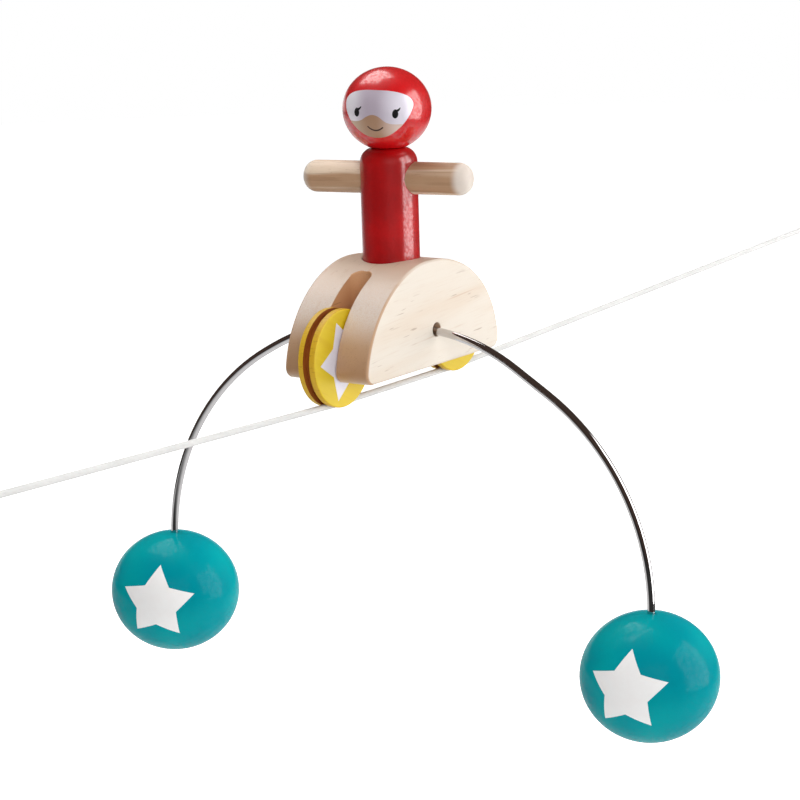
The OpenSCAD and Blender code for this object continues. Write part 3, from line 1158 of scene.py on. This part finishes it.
def makeHead():
    h = head
    edge = math.asin((h["seatZ"] - h["centreZ"]) / h["halfHeight"])
    seat, ease = h["radius"] * math.cos(edge), h["seatEase"]
    section = [(0, h["holeTop"]), (h["neckHole"], h["holeTop"]), (h["neckHole"], h["seatZ"])]
    section += [(seat - ease, h["seatZ"]), (seat - ease * 0.3, h["seatZ"] + ease * 0.25)]
    skin = ballSection(h, edge + math.radians(h["seatSkin"]), math.pi / 2)
    section += [(r, h["centreZ"] + rise) for r, rise in skin]
    bm = bmesh.new()
    turned(bm, section, h["turnSteps"], Matrix())
    piece = newPiece("ballHead", bm, headRed)
    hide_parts("head")
    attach(piece, "figure")


makeHead()
print("head made")


face = {
    "azimuth": 18.7,
    "roll": -2.7,
    # outlines are degrees across and up from the middle of the face
    "mask": [
        (0, 30.2), (20, 29.4), (38, 25.6), (48.5, 19.8), (52, 12.2), (48.6, 3.2), (42, -7.8),
        (34, -18), (23, -28), (12, -33.4), (0, -35),
    ],
    "muzzle": [
        (-60, -12), (-40, -12), (-29, -12), (-20, -10), (-14.5, -6.6), (-8, -3.2), (-2, -2.3),
        (4.5, -4.4), (10, -8.6), (16, -12.2), (25, -13.8), (38, -13.4), (60, -12),
    ],
    "eyeAcross": 26.1,
    "eyeUp": -0.2,
    "eyeHalfWidth": 3.95,
    "eyeHalfHeight": 5.7,
    "eyeFullness": 0.06,
    # the lash's ends from the middle of its eye
    "lashRoot": (1.4, 3.4),
    "lashTip": (6.7, 8.1),
    "lashBow": (0.5, -0.5),
    "lashHalfWidth": 1.6,
    "lashPoint": 0.16,
    "smile": [(-11, -17.4), (-6.4, -21.1), (0, -23), (6, -21.5), (10.8, -18)],
    "smileWidth": 2.15,
    "smileEnd": 0.55,
    # paints from the figure's right to its left, and how metallic they are; the middle tone is
    # painted shade and reflection of the dark room, the paler side tones painted light
    "maskSilver": (paint(250, 245, 252), paint(190, 177, 191), paint(233, 227, 239), 0.15),
    "muzzleTan": (paint(208, 182, 156), paint(168, 130, 102), paint(224, 200, 190), 0.0),
    # how high each layer of paint stands
    "maskLift": 0.03,
    "muzzleLift": 0.045,
    "lineLift": 0.06,
    "lashLift": 0.062,
    "patchGrid": 3.2,
    "lineGrid": 2.4,
}


def makeFacePaint(name):
    # face paint darker in the middle and paler to either side: painted shade and reflection of the
    # dark room in the middle, painted light at the sides
    one, middle, other, metallic = face[name]
    f = newMaterial(name)
    across = f.along(f.place(), lookAxes(face["azimuth"], 0)[0])
    blot = f.noise(even, 0.3, 3.0, 0.6)
    base = f.mix(f.step(across + blot, -11.0, -2.0), one, middle)
    base = f.mix(f.step(across + blot, 0.0, 9.5), base, other)
    return paintFilm(f, base, 0.34, 0.3, metallic * (0.8 + 0.2 * blot))


def curveThrough(points, steps, closed=False):
    # smooth curve through the points
    pts = [Vector(p) for p in points]
    pts = pts[-1:] + pts + pts[:2] if closed else pts[:1] + pts + pts[-1:]
    out = []
    for a, b, c, d in zip(pts, pts[1:], pts[2:], pts[3:]):
        square = 2 * a - 5 * b + 4 * c - d
        cube = 3 * b - a - 3 * c + d
        for t in (k / steps for k in range(steps)):
            out.append(0.5 * (2 * b + (c - a) * t + square * t * t + cube * t**3))
    return out if closed else out + pts[-1:]


def faceOnto():
    right, up, out = lookAxes(face["azimuth"], 0, face["roll"])
    centre = Vector((0, 0, head["centreZ"]))

    def onto(across, rise, height):
        lon, lat = math.radians(across), math.radians(rise)
        way = math.cos(lat) * (math.cos(lon) * out + math.sin(lon) * right) + math.sin(lat) * up
        return centre + way * (ballReach(way, head) + height)

    return onto


def maskOutline():
    half = face["mask"]
    mirrored = [(-x, y) for x, y in reversed(half[1:-1])]
    return curveThrough(half + mirrored, 8, closed=True)


def muzzleOutline(mask):
    # what lies below the wavy line, closed along the mask's own edge
    border = curveThrough(face["muzzle"], 6)
    lower = [p for p in mask if p.y < lineHeight(border, p.x)]
    lower.sort(key=lambda p: math.atan2(p.x, -p.y - 5))
    kept = [p for p in border if inside(p, mask)]
    return lower + list(reversed(kept))


def lineHeight(line, x):
    for a, b in zip(line, line[1:]):
        if a.x <= x <= b.x:
            return a.y + (b.y - a.y) * (x - a.x) / max(1e-9, b.x - a.x)
    return line[0].y


def eyeOutline(middle):
    outline = []
    for k in range(36):
        a = math.tau * k / 36
        # a little fuller at the bottom
        wide = face["eyeHalfWidth"] * (1 + face["eyeFullness"] * math.sin(-a))
        outline.append(middle + Vector((wide * math.cos(a), face["eyeHalfHeight"] * math.sin(a))))
    return outline


def brushLine(points, halfWidth):
    # the outline of a line along points; halfWidth takes how far along it is, 0 to 1
    left, right = [], []
    for i, p in enumerate(points):
        way = wayAt(points, i)
        side = Vector((-way.y, way.x)) * halfWidth(i / (len(points) - 1))
        left.append(p + side)
        right.append(p - side)
    return left + list(reversed(right))


def lashOutline(eye):
    # wide at the eye and pointed at the tip
    root, tip, bow = (Vector(face[key]) for key in ("lashRoot", "lashTip", "lashBow"))
    shares = [k / 6 for k in range(7)]
    line = [eye + root.lerp(tip, t) + bow * math.sin(math.pi * t) for t in shares]
    return brushLine(line, lambda t: face["lashHalfWidth"] * (1 - t) ** 0.6 + face["lashPoint"])


def smileOutline():
    # drawn in towards both ends
    def halfWidth(t):
        wide = face["smileWidth"] / 2 * (1 - 0.25 * abs(2 * t - 1) ** 3)
        return wide * face["smileEnd"] if t in (0, 1) else wide

    return brushLine(curveThrough(face["smile"], 8), halfWidth)


def makeFace():
    onto = faceOnto()
    mask = maskOutline()
    patch, line = face["patchGrid"], face["lineGrid"]
    black, brown = printed["eyeBlack"], printed["smileBrown"]
    layers = [
        ("faceMask", mask, makeFacePaint("maskSilver"), face["maskLift"], patch),
        ("faceMuzzle", muzzleOutline(mask), makeFacePaint("muzzleTan"), face["muzzleLift"], patch),
    ]
    for side, label in ((-1, "right"), (1, "left")):
        eye = Vector((side * face["eyeAcross"], face["eyeUp"]))
        layers.append((label + "Eye", eyeOutline(eye), black, face["lineLift"], line))
        layers.append((label + "Lash", lashOutline(eye), black, face["lashLift"], line))
    layers.append(("smile", smileOutline(), brown, face["lineLift"], line))
    for name, outline, material, lift, grid in layers:
        piece = film(name, outline, onto, material, lift, grid)
        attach(piece, "figure")


makeFace()
print("face made")


# Finishes of the plain pieces

plainFinish = {
    "torso": shadedBodyRed,
    "neck_dowel": dowel,
    "front_axle": dowel,
    "rear_axle": dowel,
    "left_arm": makeArmWood("left"),
    "right_arm": makeArmWood("right"),
    "balance_wire": steel,
}
for node, material in plainFinish.items():
    for slot in bpy.data.objects[node].material_slots:
        slot.material = material


# Studio

studio = {
    "floorZ": -0.30,
    "floorRadius": 4.0,
    "floorWhite": 0.86,
    "floorTone": 0.8,
    "floorToneShiny": 0.04,
    "roomDark": 0.07,
    "roomBright": 0.7,
    "wallShiny": 1.1,
    "skirting": paint(74, 60, 54),
    # where the wall and the table fade in, in directions and in metres
    "wallEdge": (-0.1, 0.5),
    "skirtingEdge": (0.55, 0.9),
    "skirtingTop": (0.02, 0.12),
    "skirtingRight": (0.0, 0.4),
    "tableNear": (-0.5, 0.0),
    "tableLeft": (-1.9, -1.1),
    "tableRight": (0.35, 0.9),
    # directions towards the lamps are right, up and back of the camera, distances in metres
    "lamps": {
        "overhead": {"way": (-0.2, 0.97, 0.08), "far": 1.25, "size": (1.05, 1.05), "watts": 11.2},
        "side": {"way": (0.97, 0.2, 0.03), "far": 1.25, "size": (0.9, 1.25), "watts": 5.9},
        "rim": {"way": (0.85, 0.15, -0.5), "far": 1.25, "size": (0.8, 0.8), "watts": 6.6},
        "fill": {"way": (0.14, 0.14, 0.98), "far": 2.2, "size": (1.6, 1.6), "watts": 25.5},
    },
    # the lamps' bright faces, which only shiny surfaces show
    "faces": {
        "window": {"way": (-0.26, 0.945, -0.185), "far": 1.09, "size": (0.7, 0.76), "glow": 3.5},
        "softbox": {"way": (0.955, 0.16, 0.25), "far": 0.9, "size": (0.79, 1.16), "glow": 3.6},
    },
}


def makeLamp(name, facts, watts, seenBy):
    data = bpy.data.lights.new(name, "AREA")
    data.shape = "RECTANGLE"
    data.size, data.size_y = facts["size"]
    data.energy = watts
    lamp = bpy.data.objects.new(name, data)
    way = (viewTurn @ Vector(facts["way"])).normalized()
    lamp.location = way * facts["far"]
    lamp.rotation_euler = way.to_track_quat("Z", "Y").to_euler()
    scene.collection.objects.link(lamp)
    lamp.visible_camera = False
    lamp.visible_diffuse = seenBy == "matt"
    lamp.visible_glossy = seenBy == "shiny"


def makeWorld():
    s = studio
    world = bpy.data.worlds.new("studio")
    scene.world = world
    f = Finish(world)
    # a white wall behind the toy and a darker room in front of it, fixed to the room
    way = f.add("ShaderNodeTexCoord", out="Generated")
    toWall, toRight = f.along(way, -viewAxes[2]), f.along(way, viewAxes[0])
    wall = f.step(toWall, *s["wallEdge"])
    light = f.mix(wall, grey(s["roomDark"]), grey(s["roomBright"]))
    # shiny surfaces show a brown strip low on the wall, to the left of the toy
    strip = f.step(toWall, *s["skirtingEdge"]) * (1 - f.step(f.split(way)[2], *s["skirtingTop"]))
    strip = strip * (1 - f.step(toRight, *s["skirtingRight"]))
    shine = f.mix(strip, s["skirting"], grey(s["wallShiny"]))
    colour = f.mix(f.ray("Glossy"), light, shine)
    seen = f.ray("Camera") + f.ray("Transmission")
    colour = f.mix(seen, colour, grey(1.0))
    sky = f.add("ShaderNodeBackground", {}, {"Color": colour, "Strength": 1.0})
    f.add("ShaderNodeOutputWorld", {}, {"Surface": sky})


def makeFloor():
    s = studio
    bm = bmesh.new()
    bmesh.ops.create_circle(bm, cap_ends=True, segments=96, radius=s["floorRadius"])
    bmesh.ops.translate(bm, verts=bm.verts, vec=(0, 0, s["floorZ"]))
    f = newMaterial("floorWhite")
    # shiny surfaces show a white table that ends in front of the toy and to either side
    here = f.add("ShaderNodeTexCoord", out="Object")
    aside, behind = f.along(here, viewAxes[0]), f.along(here, -viewAxes[2])
    table = f.step(behind, *s["tableNear"]) * f.step(aside, *s["tableLeft"])
    table = table * (1 - f.step(aside, *s["tableRight"]))
    glossy = f.ray("Glossy")
    glow = f.ray("Camera") + f.ray("Transmission") + glossy * table
    tone = f.mix(glossy, grey(s["floorTone"]), grey(s["floorToneShiny"]))
    board = f.add("ShaderNodeBsdfDiffuse", {}, {"Color": tone})
    lit = {"Color": grey(1.0), "Strength": glow * s["floorWhite"]}
    both = f.add("ShaderNodeAddShader", {}, {0: board, 1: f.add("ShaderNodeEmission", {}, lit)})
    f.add("ShaderNodeOutputMaterial", {}, {"Surface": both})
    newPiece("floor", bm, f.owner)


for name, facts in studio["lamps"].items():
    makeLamp(name, facts, facts["watts"], "matt")
for name, facts in studio["faces"].items():
    width, height = facts["size"]
    makeLamp(name, facts, facts["glow"] * math.pi * width * height, "shiny")
makeWorld()
makeFloor()
scene.view_settings.view_transform = "Standard"
print("studio made")
